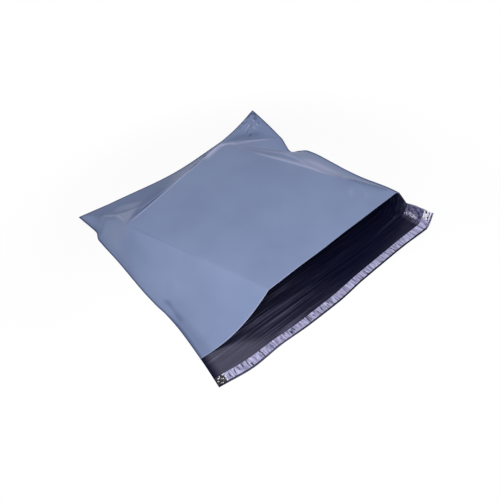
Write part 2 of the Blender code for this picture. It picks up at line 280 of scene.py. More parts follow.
def front_height(columns, rows, x, back):
    """Height of the front panel's inner face: slopes rising from the sides to a flat roof."""
    u, v = np.meshgrid(columns, rows)
    weld_left_x, roof_left_x, roof_right_x, weld_right_x = (x[:, columns == line] for line in (1, 2, 3, 4))
    eased = CORNER_EASE * bell(rows - 1, CORNER_EASE_REACH)
    nearby = [np.interp(rows + share * eased, rows, roof_left_x[:, 0]) for share in (-1, -0.5, 0, 0.5, 1)]
    roof_left_x = np.mean(nearby, axis=0)[:, None]
    up_left = np.clip((x - weld_left_x) / (roof_left_x - weld_left_x), 0, 2)
    beyond_right = np.clip((x - roof_right_x) / (weld_right_x - roof_right_x), -2, 1)
    across, to_end = np.clip(u - 3, 0, 1), np.clip(v - 1, 0, 1)
    total = across + to_end

    left_foot = back[:, columns == 1]
    hollow = np.clip(1 - v, 0, 1) ** 1.6
    left = left_foot + (ROOF_HEIGHT - left_foot) * up_left ** (1 + hollow)
    back_slope = (FILM_THICKNESS + fold_lift(u)) * to_end + ROOF_HEIGHT * (1 - to_end)
    sag_share = np.clip(np.clip(up_left, 0, 1) + to_end - 1, 0, 1) * (1 - across) ** 2
    back_slope -= 4 * BACK_SLOPE_SAG * to_end * (1 - to_end) * sag_share
    right_foot = np.where(v > 1, VALLEY_LIFT + FILM_THICKNESS, back[:, columns == 4])
    right = back_slope + (right_foot - ROOF_HEIGHT) * beyond_right
    gap = 4 * (1 - across) * (1 - to_end) * EAR_GAP * np.clip(4 * np.minimum(across, to_end), 0, 1)
    on_ear = (v > 1) & (total > 1)
    right = np.where(on_ear, ear(across, to_end) + FILM_THICKNESS, right) + gap * np.clip(total, 0, 1) ** 3

    rounding = np.interp(rows, *zip(*ROOF_ROUNDING))[:, None]
    left_and_back = rounded_min(left, back_slope, rounding)
    right_and_back = rounded_min(right, back_slope, rounding)
    return np.where(u > 3, right_and_back, rounded_min(left_and_back, right, rounding))


def beside(x, y, line):
    """Distance from a line through plan points, positive on its left, and the share of its length."""
    line = np.array(line, float)
    pieces = np.diff(line, axis=0)
    lengths = np.linalg.norm(pieces, axis=1)
    before = np.concatenate([[0], np.cumsum(lengths)])
    best = np.full(x.shape, np.inf)
    signed, share = np.zeros(x.shape), np.zeros(x.shape)
    for k, (dx, dy) in enumerate(pieces):
        px, py = x - line[k, 0], y - line[k, 1]
        t = np.clip((px * dx + py * dy) / lengths[k] ** 2, 0, 1)
        away = np.hypot(px - t * dx, py - t * dy)
        closer = away < best
        best = np.where(closer, away, best)
        signed = np.where(closer, np.sign(dx * py - dy * px) * away, signed)
        share = np.where(closer, (before[k] + t * lengths[k]) / before[-1], share)
    return signed, share


def crease(x, y, line, height, width, fade):
    """A soft ridge, or a furrow where the height is below zero, that fades over a share at both ends."""
    signed, share = beside(x, y, line)
    ends = np.clip(np.minimum(share, 1 - share) / fade, 0, 1)
    return height * bell(signed, width) * ends * (2 - ends)


def waves(x, y, seed, wavelength, height, count=7):
    """Slow undulation: waves of about one length that run in every direction."""
    draw = np.random.default_rng(seed)
    total = np.zeros(x.shape)
    for _ in range(count):
        heading = draw.uniform(0, 2 * math.pi)
        phase = draw.uniform(0, 2 * math.pi)
        pitch = 2 * math.pi / (wavelength * draw.uniform(0.7, 1.5))
        total += np.sin(pitch * (x * math.cos(heading) + y * math.sin(heading)) + phase)
    return height * total / math.sqrt(count)


def relaxed(z, times, share=1.0):
    """Heights with their sharpest creases eased, as springy film rounds them."""
    step = 0.8 * np.broadcast_to(share, z.shape)[1:-1, 1:-1]
    for _ in range(times):
        mean = (z[:-2, 1:-1] + z[2:, 1:-1] + z[1:-1, :-2] + z[1:-1, 2:]) / 4
        z[1:-1, 1:-1] += step * (mean - z[1:-1, 1:-1])
    return z


def facet(x, y, corners, lifts):
    """A flat triangle raised over the film by a height at each corner, with a soft step round it."""
    (ax, ay), (bx, by), (cx, cy) = corners
    whole = (by - cy) * (ax - cx) + (cx - bx) * (ay - cy)
    a = ((by - cy) * (x - cx) + (cx - bx) * (y - cy)) / whole
    b = ((cy - ay) * (x - cx) + (ax - cx) * (y - cy)) / whole
    c = 1 - a - b
    inside = np.clip(np.minimum(np.minimum(a, b), c) * 14 + 0.1, 0, 1)
    return (a * lifts[0] + b * lifts[1] + c * lifts[2]) * inside, inside


def back_ridge(x, y):
    """The sharp pleat along the roof's back edge, with a narrow trough and a lower pleat behind it."""
    signed, share = beside(x, y, [(-140, 219.5), (-100, 232), (-40, 250.6), (10, 266), (70, 285)])
    ends = np.clip(np.minimum(share / 0.1, (1 - share) / 0.12), 0, 1)
    deep = bell(share - 0.27, 0.15) + 0.9 * bell(share - 0.70, 0.07)
    trough = ends * deep * bell(signed - 4.5, 2.6)
    shade = ends * np.minimum(deep, 1) * bell(signed - 8, 5)
    height = 0.7 * ends * bell(signed, 1.6) - 2.4 * trough
    # Painted highlight on the pleat's crest, and painted shade in the trough and in a band behind it
    pale = 0.6 * ends * bell(signed, 1.3) - 0.5 * trough - 0.4 * shade

    lower_pleat = [(-121, 239), (-104, 243), (-61, 254), (-28, 263), (0, 271), (22, 277)]
    height += crease(x, y, lower_pleat, 1.5, 2.2, 0.2)
    # Painted highlights along the lower pleat and along lines towards its right end
    pale += crease(x, y, [(-113, 242), (-61, 254), (-28, 263), (0, 271)], 0.3, 3.4, 0.2)
    pale += crease(x, y, [(22, 265), (36, 271), (52, 277), (72, 283)], 0.62, 4.4, 0.4)
    pale += crease(x, y, [(60, 280), (74, 276), (88, 270)], 0.6, 3.6, 0.3)
    return height, pale


def front_details(x, y):
    """What the front panel shows beside its main planes: its height over them, and how pale it is."""
    height, pale = back_ridge(x, y)

    # The facet by the left back corner, and the creases that run from it to the corner, with painted
    # highlights on the facet and creases, and a band of painted shade towards the corner
    raised, inside = facet(x, y, [(-140, 221), (-141, 287), (-110, 254)], (0, 3.0, 1.6))
    height += raised
    pale += 0.28 * inside
    pale += crease(x, y, [(-108, 252), (-126, 268), (-141, 288), (-153, 312)], 0.36, 3.0, 0.4)
    height += crease(x, y, [(-120, 320), (-107, 290), (-100, 262)], 0.8, 6, 0.4)
    pale += crease(x, y, [(-130, 312), (-112, 290), (-100, 268)], 0.17, 8, 0.4)
    pale -= crease(x, y, [(-172, 344), (-162, 320), (-154, 300)], 0.12, 14, 0.3)

    # Two pleats along the roof's right edge with a furrow between them, with painted highlights on the
    # pleats, a painted sheen beside them, painted shade in the furrow, and painted shade on the slope
    # towards the mouth
    edge_pleat = [(86, 226), (94, 204), (104, 176), (111, 154), (117, 132), (124, 104), (130, 82)]
    slope_pleat = [(84, 256), (100, 242), (116, 222), (124, 200), (128, 178), (127, 158), (121, 134)]
    furrow = [(96, 232), (110, 204), (119, 178), (122, 156)]
    height += crease(x, y, edge_pleat, 0.8, 2.4, 0.3)
    pale += crease(x, y, edge_pleat, 0.55, 2.4, 0.35)
    height += crease(x, y, slope_pleat, 1.2, 2.6, 0.2)
    pale += crease(x, y, slope_pleat, 0.4, 2.6, 0.25)
    height += crease(x, y, furrow, -1.6, 4.5, 0.3)
    pale -= crease(x, y, furrow, 0.22, 4.0, 0.3)
    pale += crease(x, y, [(140, 172), (142, 130), (143, 90)], 0.4, 10, 0.4)
    pale -= crease(x, y, [(134, 74), (139, 50), (146, 30), (153, 4)], 0.32, 11, 0.3)
    pale += crease(x, y, [(108, 200), (118, 150), (128, 104)], 0.25, 6, 0.3)

    # The pleat from the roof's right back corner to the ear's root, with a painted highlight along it, and
    # on the ear a band of painted shade and a band of painted highlight
    height += crease(x, y, [(72, 284), (100, 277), (140, 269), (168, 265)], 0.9, 3.0, 0.2)
    pale += crease(x, y, [(76, 270), (93, 271), (114, 271), (138, 269), (164, 266)], 0.35, 2.6, 0.25)
    pale -= crease(x, y, [(108, 340), (124, 328), (138, 308), (154, 291), (170, 282)], 0.42, 10, 0.2)
    pale += crease(x, y, [(134, 336), (150, 318), (168, 302)], 0.22, 7, 0.3)

    # The dent at the foot of the left slope, with painted shade in it, the swelling beside it, and bands of
    # painted shade on the slope, one a thin line along the roof's left edge
    dent = [(-169, 106), (-163.5, 106.5), (-159.8, 98), (-161, 84), (-162, 72), (-163, 58)]
    height += crease(x, y, dent, -2.4, 3.8, 0.2)
    pale -= crease(x, y, dent, 1.05, 3.8, 0.2)
    height += crease(x, y, [(-150, 112), (-147, 90), (-148, 62)], 1.2, 6, 0.3)
    pale -= crease(x, y, [(-148, 225), (-147, 145)], 0.28, 14, 0.3)
    pale -= crease(x, y, [(-139, 214), (-124.5, 165), (-110, 116), (-100, 82)], 0.3, 1.8, 0.25)

    # Faint ripples on the roof, close to the right end of the mouth, with painted highlights along them
    ripples = [
        [(136, 63), (134, 44), (129, 27), (118, 19)],
        [(120, 50), (112, 36)],
        [(126, 58), (122, 42)],
    ]
    for ripple in ripples:
        height += crease(x, y, ripple, 0.35, 3, 0.3)
        pale += crease(x, y, ripple, 0.12, 3, 0.3)
    return height, pale


EAR_SIDE_X = 172.5
EAR_FOLD_Y = 341


def ear_crinkles(x, y):
    """Crumpled film under the raised corner's tip, in short chevrons, and fine wrinkles by its edges."""
    from_side = EAR_SIDE_X - x
    from_fold = EAR_FOLD_Y - y
    nearest = np.minimum(from_side, from_fold)
    farthest = np.maximum(from_side, from_fold)
    inside = np.clip(nearest / 3, 0, 1) * np.clip((x - 92) / 20, 0, 1) * np.clip((y - 270) / 15, 0, 1)
    near_tip = inside * bell(farthest, 34, 4)
    broken = np.clip(0.5 + waves(x, y, 33, 13, 0.9), 0, 1.3)
    chevrons = np.sin(nearest * 0.72 + 1.6 * waves(x, y, 31, 16, 1.0)) * near_tip * broken
    along_edge = inside * bell(nearest, 9) * (1 - 0.5 * near_tip)
    fine = waves(x, y, 32, 6.5, 0.5, 12) * along_edge
    # Painted highlight and shade along the chevrons, painted shade in the fine wrinkles and under the tip
    tip_shade = 0.25 * inside * bell(farthest, 22, 4)
    pale = 0.7 * np.maximum(chevrons, -0.55) - 0.4 * np.abs(fine) - tip_shade
    return chevrons + fine, pale


def clustered(cells, tightness):
    """Shares from 0 up to but not including 1, closer together towards both ends."""
    even = np.arange(cells) / cells
    return even + tightness * (0.5 - 0.5 * np.cos(math.pi * even) - even)


corner_columns = clustered(CORNER_CELLS, 0.7)
columns = np.concatenate([
    LEFT_WELD_COLUMNS,
    1 + corner_columns,
    2 + clustered(ROOF_CELLS, 0.75),
    3 + corner_columns,
    RIGHT_WELD_COLUMNS,
])
lip_rows = np.concatenate([clustered(LIP_CELLS, 0.5) * (1 + STEP_ROW) - 1, [STEP_ROW, STEP_ROW / 2]])
rows = np.concatenate([
    lip_rows,
    clustered(FRONT_CELLS, 0.8),
    1 + clustered(SLOPE_CELLS, 0.5),
    FOLD_ROWS,
])
mouth = len(lip_rows)
fold_row = len(rows) - len(FOLD_ROWS)
weld_left = len(LEFT_WELD_COLUMNS)
weld_right = len(columns) - len(RIGHT_WELD_COLUMNS)
last = len(columns) - 1

plan_x, plan_y = film_plan(columns, rows)
back_z = back_height(columns, rows, plan_x, plan_y)

# The front panel is held down by the welds and the fold, and is slack a little way in from them
LEAST_GAP = 0.35
front_u, front_v = np.meshgrid(columns, rows[mouth:])
front_x, front_y = plan_x[mouth:], plan_y[mouth:]
slack = np.clip(np.minimum(front_u - 1, 4 - front_u) * 4, 0, 1) * np.clip((2 - front_v) * 4, 0, 1)
behind_roof = np.clip(front_v - 1, 0, 1)
in_corner = np.clip((front_u - 3) * 6, 0, 1) * np.clip(behind_roof * 6, 0, 1)
front_z = front_height(columns, rows[mouth:], front_x, back_z[mouth:])
front_z = relaxed(front_z, 4)
front_z = relaxed(front_z, 40, in_corner)
detail, detail_paleness = front_details(front_x, front_y)
crinkle, crinkle_paleness = ear_crinkles(front_x, front_y)
slow_waves = waves(front_x, front_y, 4, 60, 0.22)
front_z += slack * (detail + slow_waves) + np.clip(slack * 3, 0, 1) * crinkle
together = (front_u <= 1) | (front_u >= 4) | (front_v >= 2)
lowest = back_z[mouth:] + LEAST_GAP * slack
front_z = np.where(together, back_z[mouth:], np.maximum(front_z, lowest))

# How pale the outer film is, from -1 to 1. Above zero it is pale and glossy: painted highlights on creases
# and on faces that would catch the light. Down to -DULL it only loses its gloss: the back slope has little,
# and a bit more towards its right end. Below that it is dark: painted shade in dents, furrows and bands, and
# darker along the welds, as the hot knife leaves them, and along the closed fold
DULL = 0.2
BACK_SLOPE_DULLNESS = [
    (2.35, 1),
    (2.45, 0.94),
    (2.52, 0.82),
    (2.65, 0.72),
    (2.76, 0.68),
    (2.82, 1),
    (2.9, 0.5),
    (3, 0),
]
DARK_EDGE_WIDTH = 2.2
DARK_EDGE_SHADE = 1.1
MOUTH_HIGHLIGHT_WIDTH = 0.7
side_distance = np.minimum(front_x - front_x[:, :1], front_x[:, -1:] - front_x)
mouth_distance = front_y - front_y[:1]
fold_distance = front_y[-1:] - front_y
dark_edges = bell(side_distance, DARK_EDGE_WIDTH) + bell(fold_distance, DARK_EDGE_WIDTH)
# Painted highlight along the mouth's edge, stronger towards its left end
mouth_highlight = np.clip((70 - front_x) / 150, 0.1, 0.8) * bell(mouth_distance, MOUTH_HIGHLIGHT_WIDTH)
behind_ridge = np.where(front_u < 2, (front_v - 1.2) * 3, (front_v - 1) * 16)
back_slope_part = np.clip(behind_ridge, 0, 1) * through(BACK_SLOPE_DULLNESS, front_u)
# Painted shade along the foot of the left slope, by the mouth
left_foot = crease(front_x, front_y, [(-165, -40), (-164, 40), (-164, 85)], 0.4, 14, 0.3)
paleness = detail_paleness * slack + crinkle_paleness + mouth_highlight - left_foot
paleness = np.clip(paleness - DULL * back_slope_part - DARK_EDGE_SHADE * dark_edges, -1, 1)

# The inner film's mark, from dull at -1 to a full sheen at 0. The sheen is gloss together with a painted
# reflection, lighter streaks in the colour; it is strong at the lip's left end, fades towards its right, and
# is weak in the weld's band. Above zero the mark stands for the crumpled film that turns up at the right,
# painted with a sheen, and close to 1 for the painted glints along its foot
LEAST_SHEEN = 0.12
past_weld = np.clip((plan_x - plan_x[:, :1] - 3) / 9, 0.05, 1)
sheen = LEAST_SHEEN + (1 - LEAST_SHEEN) * np.clip((30 - plan_x) / 150, 0, 1)
turned_part = np.clip((plan_x - 164) / 6, 0, 1) * np.clip((-1 - plan_y) / 6, 0, 1)
# Painted glints along the foot of the crumpled film
painted_glints = crease(plan_x, plan_y, [(170.4, -26), (170.8, -16), (170.4, -9), (168.6, -2)], 1.0, 1.2, 0.1)
lip_marks = (past_weld * sheen - 1) * (1 - turned_part) + 0.45 * turned_part + 0.55 * painted_glints * turned_part


def normals(x, y, z):
    """Unit normals of a grid surface, pointing up."""
    point = np.stack([x, y, z], -1)
    normal = np.cross(np.gradient(point, axis=1), np.gradient(point, axis=0))
    return normal / np.linalg.norm(normal, axis=-1, keepdims=True)


back_normal = normals(plan_x, plan_y, back_z)
front_normal = normals(front_x, front_y, front_z)
crumpled = 0.5 * waves(plan_y, back_z, 41, 7, 0.5, 9) * turned_part * np.clip((plan_y + 33) / 4, 0, 1)
back_inner = np.stack([plan_x, plan_y, back_z], -1) + crumpled[..., None] * back_normal
front_inner = np.stack([front_x, front_y, front_z], -1)
back_outer = back_inner - FILM_THICKNESS * back_normal
front_outer = front_inner + FILM_THICKNESS * front_normal

# Where the CAD film lies decides where this one goes
film_low, film_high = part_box("bag_film")
every_point = np.concatenate([back_outer.reshape(-1, 3), front_outer.reshape(-1, 3)])
own_middle = (every_point.min(axis=0) + every_point.max(axis=0)) / 2
to_place = np.array((film_low + film_high) / 2) * 1000 - own_middle
to_place[2] = film_low.z * 1000 - every_point[:, 2].min()

SHARP_ANGLE = 50


class Skin:
    """Vertices and faces of one closed piece, gathered from grids of points in millimetres."""

    def __init__(self):
        self.points = []
        self.marks = []
        self.count = 0
        self.faces = []
        self.kinds = []

    def add(self, grid, mark=0.0):
        """Adds a grid of points, each with a mark for its shader, and returns the grid of their numbers."""
        numbers = np.arange(self.count, self.count + grid[..., 0].size).reshape(grid.shape[:2])
        self.points.append((grid + to_place).reshape(-1, 3) / 1000)
        self.marks.append(np.broadcast_to(mark, grid.shape[:2]).ravel())
        self.count += numbers.size
        return numbers

    def sheet(self, grid, up, kind=0):
        """Four-sided faces over a grid of point numbers, facing up or down."""
        a, b, c, d = grid[:-1, :-1], grid[:-1, 1:], grid[1:, 1:], grid[1:, :-1]
        quads = np.stack([a, b, c, d] if up else [a, d, c, b], -1).reshape(-1, 4)
        self.faces.extend(quads.tolist())
        self.kinds.extend([kind] * len(quads))

    def rim(self, low, high):
        """A narrow edge face between two lines; low runs with the outside on its right."""
        for k in range(len(low) - 1):
            self.face([low[k], low[k + 1], high[k + 1], high[k]])

    def face(self, corners):
        """One face through point numbers, counter-clockwise as seen from outside."""
        self.faces.append([int(c) for c in corners])
        self.kinds.append(0)

    def build(self, name, materials):
        """The piece as an object; its faces take the materials in the order of their kinds."""
        points = np.concatenate(self.points)
        used = np.unique(np.concatenate([np.array(face) for face in self.faces]))
        number = np.full(len(points), -1)
        number[used] = np.arange(len(used))
        mesh = bpy.data.meshes.new(name)
        mesh.from_pydata(points[used].tolist(), [], [[int(number[c]) for c in face] for face in self.faces])
        for material in materials:
            mesh.materials.append(material)
        mesh.polygons.foreach_set("material_index", np.array(self.kinds, dtype=np.int32))
        marks = mesh.attributes.new("mark", "FLOAT", "POINT")
        marks.data.foreach_set("value", np.concatenate(self.marks)[used].astype(np.float32))
        mesh.shade_smooth()
        mesh.set_sharp_from_angle(angle=math.radians(SHARP_ANGLE))
        made = bpy.data.objects.new(name, mesh)
        bpy.context.scene.collection.objects.link(made)
        return made


def on_screen(red, green, blue):
    """A colour given as seen on screen, 0 to 255, in the linear values that a shader takes."""
    screen = np.array([red, green, blue]) / 255
    linear = np.where(screen <= 0.04045, screen / 12.92, ((screen + 0.055) / 1.055) ** 2.4)
    return (*linear.tolist(), 1.0)


class Nodes:
    """A node tree, with short ways to add nodes to it."""

    def __init__(self, tree):
        self.nodes = tree.nodes
        self.links = tree.links

    def feed(self, socket, value):
        """Gives a socket a value, or links another node's output to it."""
        if isinstance(value, bpy.types.NodeSocket):
            self.links.new(value, socket)
        else:
            socket.default_value = value

    def add(self, kind, inputs=(), **settings):
        """A node with its settings and inputs; an input is a value or another node's output."""
        node = self.nodes.new("ShaderNode" + kind)
        for key, value in settings.items():
            setattr(node, key, value)
        for key, value in dict(inputs).items():
            self.feed(node.inputs[key], value)
        return node

    def combined(self, operation, first, second):
        """Two numbers put together, as by MULTIPLY or MAXIMUM."""
        return self.add("Math", {0: first, 1: second}, operation=operation).outputs["Value"]

    def between(self, value, low, high, from_low=0.0, from_high=1.0):
        """A value's own range spread over another one, from low to high, and held at its ends."""
        inputs = {"Value": value, "From Min": from_low, "From Max": from_high, "To Min": low, "To Max": high}
        return self.add("MapRange", inputs).outputs["Result"]


class Shader(Nodes):
    """A material's nodes, with the Principled shader at the end of them."""

    def __init__(self, name):
        self.material = bpy.data.materials.new(name)
        self.material.use_nodes = True
        super().__init__(self.material.node_tree)
        self.surface = self.nodes["Principled BSDF"]
        self.place = self.add("TexCoord").outputs["Object"]

    def stretched(self, scale):
        """The piece's own coordinates, in metres, times a scale along each axis."""
        return self.add("Mapping", {"Vector": self.place, "Scale": scale}).outputs["Vector"]

    def mark(self):
        """The mark that each point of the piece carries."""
        return self.add("Attribute", attribute_name="mark").outputs["Fac"]

    def mixed(self, factor, first, second):
        """One colour changing into another."""
        return self.add("Mix", {0: factor, 6: first, 7: second}, data_type="RGBA").outputs[2]

    def noise(self, scale, detail, roughness=0.5, vector=None):
        """Cloudy noise from 0 to 1, with its scale in waves to the metre."""
        inputs = {"Vector": vector or self.place, "Scale": scale, "Detail": detail, "Roughness": roughness}
        return self.add("TexNoise", inputs).outputs["Fac"]

    def ramp(self, value, *stops):
        """Colours along a value, as (position, colour) stops."""
        node = self.add("ValToRGB", {"Fac": value})
        elements = node.color_ramp.elements
        while len(elements) < len(stops):
            elements.new(0.5)
        for element, (position, colour) in zip(elements, stops):
            element.position = position
            element.color = colour
        return node.outputs["Color"]

    def bump(self, height, distance, strength, normal=None):
        """The surface's normal over small bumps, whose height is a share of a distance in metres."""
        inputs = {"Height": height, "Distance": distance, "Strength": strength}
        if normal:
            inputs["Normal"] = normal
        return self.add("Bump", inputs).outputs["Normal"]

    def set(self, **values):
        """Gives the Principled shader its inputs, whose names have underscores here for their spaces."""
        for key, value in values.items():
            self.feed(self.surface.inputs[key.replace("_", " ")], value)
        return self.material


def grey_film():
    """The outer layer: satin grey-blue, faintly mottled, with the fine streaks of blown film and painted
    highlights and shade.
    """
    shader = Shader("grey_film")
    highlight_colour = on_screen(178, 178, 212)
    shade_and_scorch_colour = on_screen(62, 70, 104)
    mark = shader.mark()
    mottle = shader.noise(scale=16.0, detail=2.0)
    streaks = shader.noise(scale=1.0, detail=3.0, roughness=0.6, vector=shader.stretched((28, 500, 28)))
    grain = shader.noise(scale=900.0, detail=2.0)
    tint = shader.ramp(mottle, (0.36, on_screen(116, 129, 162)), (0.66, on_screen(121, 135, 167)))
    # Above zero the mark mixes in a painted highlight colour; below -DULL a dark colour, painted shade, and
    # the welds' scorched edges
    pale = shader.between(mark, 0.0, 1.0)
    dark = shader.between(mark, 1.0, 0.0, -1.0, -DULL)
    tint_with_painted_light = shader.mixed(dark, shader.mixed(pale, tint, highlight_colour), shade_and_scorch_colour)
    gloss = shader.between(mark, 0.0, 0.07, -DULL, 0.0)
    rough = shader.between(mottle, 0.36, 0.48, 0.3, 0.7)
    soft = shader.bump(mottle, distance=0.0012, strength=0.35)
    fine = shader.bump(streaks, distance=0.00006, strength=0.25, normal=soft)
    grained = shader.bump(grain, distance=0.00003, strength=0.08, normal=fine)
    return shader.set(Base_Color=tint_with_painted_light, Roughness=rough, Normal=grained, Specular_IOR_Level=gloss)


def black_film():
    """The inner layer: black with a blue cast and a violet sheen, with streaks along the mouth painted light
    as a reflection.
    """
    shader = Shader("black_film")
    dull_colour = on_screen(8, 10, 32)
    glint_colour = on_screen(206, 204, 222)
    sheen_colour = on_screen(214, 212, 246)
    mark = shader.mark()
    streaks = shader.noise(scale=1.0, detail=4.0, roughness=0.65, vector=shader.stretched((9, 520, 60)))
    clouds = shader.noise(scale=22.0, detail=2.0)
    crumples = shader.noise(scale=240.0, detail=3.0, roughness=0.7)
    specks = shader.noise(scale=700.0, detail=1.0, roughness=0.5)
    # The lighter streaks are painted reflection; the mark fades them into the dull colour
    tint = shader.ramp(
        streaks,
        (0.35, on_screen(18, 20, 33)),
        (0.52, on_screen(31, 32, 48)),
        (0.66, on_screen(88, 87, 113)),
    )
    dark = shader.between(mark, 1.0, 0.0, -1.0, 0.0)
    # Painted sheen on the crumpled film that turns up at the right
    crumple_sheen = shader.ramp(crumples, (0.38, on_screen(50, 50, 76)), (0.62, on_screen(120, 120, 156)))
    crumple_sheen_share = shader.between(mark, 0.0, 1.0, 0.0, 0.45)
    turned = shader.mixed(crumple_sheen_share, shader.mixed(dark, tint, dull_colour), crumple_sheen)
    # Painted glints: white flecks along the crumpled film's foot
    flecks = shader.between(specks, 0.0, 1.0, 0.5, 0.56)
    glint_share = shader.between(mark, 0.0, 1.0, 0.55, 0.75)
    tinted = shader.mixed(shader.combined("MULTIPLY", flecks, glint_share), turned, glint_colour)
    gloss = shader.between(mark, 0.05, 1.0, -1.0, 0.0)
    rough = shader.between(streaks, 0.22, 0.42, 0.3, 0.7)
    fine = shader.bump(streaks, distance=0.00015, strength=0.7)
    crumpled = shader.bump(clouds, distance=0.0015, strength=0.5, normal=fine)
    shader.set(Specular_Tint=sheen_colour, Specular_IOR_Level=gloss)
    return shader.set(Base_Color=tinted, Roughness=rough, Normal=crumpled)


def make_film():
    """The folded and welded film: outer faces, inner faces where it is open, and its cut edges."""
    skin = Skin()
    under, over = skin.add(back_outer), skin.add(front_outer, paleness)
    floor, ceiling = skin.add(back_inner, lip_marks), skin.add(front_inner)
    pocket_floor = floor[mouth:]
    inner_fold = fold_row - mouth
    ceiling[:, : weld_left + 1] = pocket_floor[:, : weld_left + 1]
    ceiling[:, weld_right:] = pocket_floor[:, weld_right:]
    ceiling[inner_fold:] = pocket_floor[inner_fold:]

    skin.sheet(over, up=True)
    skin.sheet(under, up=False)
    skin.sheet(floor[: mouth + 1], up=True, kind=1)
    pocket = (slice(0, inner_fold + 1), slice(weld_left, weld_right + 1))
    skin.sheet(pocket_floor[pocket], up=True, kind=1)
    skin.sheet(ceiling[pocket], up=False, kind=1)
    skin.rim(under[0], floor[0])
    skin.rim(under[-1][::-1], over[-1][::-1])
    skin.rim(ceiling[0], over[0])
    for side, turn in ((0, -1), (last, 1)):
        skin.rim(under[: mouth + 1, side][::turn], floor[: mouth + 1, side][::turn])
        skin.rim(under[mouth + 1 :, side][::turn], over[1:, side][::turn])
        below, above, corner_point = under[mouth : mouth + 2, side], over[:2, side], floor[mouth, side]
        for corners in (
            (below[0], below[1], corner_point),
            (corner_point, below[1], above[1]),
            (corner_point, above[1], above[0]),
        ):
            skin.face(corners[::turn])
    return skin.build("film", [grey_film(), black_film()])


film = make_film()
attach(film, "root")
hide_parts("bag_film")


# Glue bead
# A bead of pressure-sensitive hot-melt glue, straw-coloured and glossy, laid on the lip's black face as
# the film runs by. It swells and thins a little along its length and stays hidden until the bag is sealed.

LINER_MARGIN = 2.5
LINER_WIDTH = 11.5
GLUE_WIDTH = 8
GLUE_LINES = 9

# Heights over the film's middle: of the bead's underside, of its edges, and of its crown over them
GLUE_FOOT = 0.05
GLUE_EDGE = 0.08
GLUE_CROWN = 0.25


def lip_strip(distances, stations, lift):
    """Points along the lip at distances in from its cut edge, a height above the film."""
    strip_rows = np.array(distances) / LIP_LENGTH - 1
    x, y = film_plan(stations, strip_rows)
    z = back_height(stations, strip_rows, x, y)
    return np.stack([x, y, z], -1) + normals(x, y, z) * np.asarray(lift)[..., None]


def closed_strip(skin, low, high, mark=0.0):
    """A thin strip's faces: top, bottom and the four edges round them."""
    bottom, top = skin.add(low, mark), skin.add(high, mark)
    skin.sheet(top, up=True)
    skin.sheet(bottom, up=False)
    skin.rim(bottom[0], top[0])
    skin.rim(bottom[:, -1], top[:, -1])
    skin.rim(bottom[-1][::-1], top[-1][::-1])
    skin.rim(bottom[::-1, 0], top[::-1, 0])


def hot_melt():
    """Straw-coloured hot-melt: glossy and slightly uneven."""
    shader = Shader("hot_melt")
    uneven = shader.noise(scale=160.0, detail=3.0)
    tint = shader.ramp(uneven, (0.35, on_screen(176, 166, 128)), (0.7, on_screen(214, 206, 178)))
    lumpy = shader.bump(uneven, distance=0.0004, strength=0.6)
    return shader.set(Base_Color=tint, Roughness=0.22, Normal=lumpy)


glue_columns = np.concatenate([1 + np.arange(60) / 60, 2 + np.arange(150) / 150, 3 + np.arange(121) / 120])
glue_start = LINER_MARGIN + (LINER_WIDTH - GLUE_WIDTH) / 2
glue_lines = np.linspace(glue_start, glue_start + GLUE_WIDTH, GLUE_LINES)
glue_crown = np.sin(np.linspace(0, math.pi, GLUE_LINES))[:, None] ** 0.5
glue_swell = 1 + 0.3 * waves(glue_columns, 0 * glue_columns, 12, 0.12, 1.0)[None, :]
glue_lift = GLUE_EDGE + GLUE_CROWN * glue_crown * np.clip(glue_swell, 0.4, 1.5)
glue_low = lip_strip(glue_lines, glue_columns, GLUE_FOOT)
glue_high = lip_strip(glue_lines, glue_columns, glue_lift)
glue_skin = Skin()
closed_strip(glue_skin, glue_low, glue_high)
glue_bead = glue_skin.build("glue_bead", [hot_melt()])
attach(glue_bead, "root")
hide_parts("adhesive_strip")


# Peel-off liner
# A narrow ribbon of silvery-lilac film with a silicone coating, rolled over the glue as it is laid. It
# stands in small wrinkles across its width, and the side welds crush both of its ends flat.

LINER_THICKNESS = 0.06
LINER_LINES = 13
LINER_ENDS = (0.2, 4.8)

# Heights over the lip: of the liner on its glue, of its crushed ends, and how far its wrinkles may reach
LINER_LIFT = 0.62
CRUSHED_LIFT = 0.12
DEEPEST_WRINKLE = -0.22
HIGHEST_WRINKLE = 0.7

# The gathers near the left end: (place of the end by the lip's edge, place of the end by the bag)
GATHERS = [(-161, -160), (-154, -152.5), (-148.5, -147), (-143, -142), (-137, -135.5)]
GATHER_OUTER_Y = -46
GATHER_INNER_Y = -37


